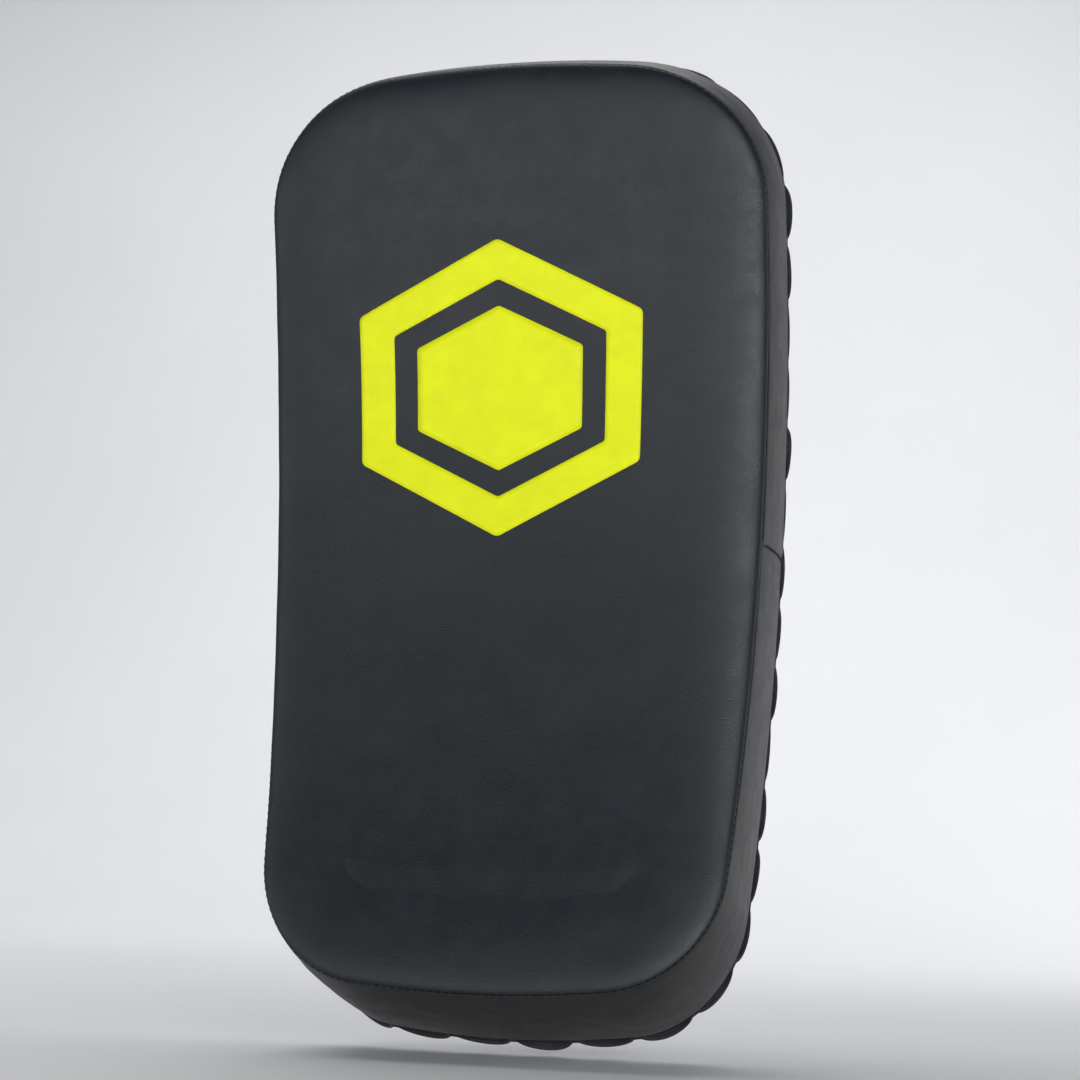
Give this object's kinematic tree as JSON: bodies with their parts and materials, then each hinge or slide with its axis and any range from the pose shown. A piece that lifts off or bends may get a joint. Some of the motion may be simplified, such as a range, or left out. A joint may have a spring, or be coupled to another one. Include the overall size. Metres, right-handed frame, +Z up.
{
  "type": "kick pad",
  "caption": "Curved leather kick pad with layered foam, grip webbing round its rear rim, forearm straps that open and a hand grip on the back.",
  "frame": {"origin": "middle of the box's lower face: the pad stands upright on its lower end, as the picture shows it", "axes": "+Z up along the pad, towards its wider end; +Y from the strike face to the back with the straps; +X across the pad, to the right of someone who faces the strike face"},
  "size_m": [0.3366, 0.2271, 0.6689],
  "materials": {
    "face_leather": "matte",
    "band_leather": "satin",
    "back_leather": "matte",
    "grip_leather": "satin",
    "thread": "matte",
    "webbing": "matte",
    "strap_padding": "matte",
    "hook_and_loop": "matte",
    "soft_foam": "matte",
    "dense_foam": "matte",
    "lime_print": "satin"
  },
  "bodies": {
    "pad": {"strike_face_panel": "face_leather", "upper_side_band": "band_leather", "lower_side_band": "band_leather", "back_panel": "back_leather", "front_seam_thread": "thread", "rear_seam_thread": "thread", "strike_foam": "soft_foam", "core_foam": "dense_foam", "backing_foam": "soft_foam", "target_print": "lime_print", "rim_webbing_right": "webbing", "rim_webbing_left": "webbing", "rim_webbing_top": "webbing", "rim_webbing_bottom": "webbing", "rim_tacks": "thread", "upper_strap_inner": "webbing", "upper_strap_pad": "strap_padding", "upper_loop_patch": "hook_and_loop", "upper_flap_tab": "webbing", "lower_strap_inner": "webbing", "lower_strap_pad": "strap_padding", "lower_loop_patch": "hook_and_loop", "lower_flap_tab": "webbing", "strap_anchor_patches": "back_leather", "grip_tabs": "webbing", "grip_anchor_patches": "back_leather"},
    "upper_flap": {"upper_strap_flap": "webbing", "upper_hook_patch": "hook_and_loop"},
    "lower_flap": {"lower_strap_flap": "webbing", "lower_hook_patch": "hook_and_loop"},
    "grip": {"grip_webbing": "webbing", "grip_sleeve": "grip_leather"}
  },
  "joints": [
    {"name": "upper_strap_open", "type": "hinge", "parent": "pad", "child": "upper_flap", "pos_m": [0.0817, 0.0517, 0.3801], "axis": [0, 0.0496, -0.9988], "range_deg": [0, 95]},
    {"name": "lower_strap_open", "type": "hinge", "parent": "pad", "child": "lower_flap", "pos_m": [0.0817, 0.0427, 0.1993], "axis": [0, -0.1483, -0.9889], "range_deg": [0, 95]},
    {"name": "grip_swing", "type": "hinge", "parent": "pad", "child": "grip", "pos_m": [0, 0.0406, 0.5218], "axis": [1, 0, 0], "range_deg": [-65, 65], "stiffness_Nm_per_rad": 0.5}
  ]
}
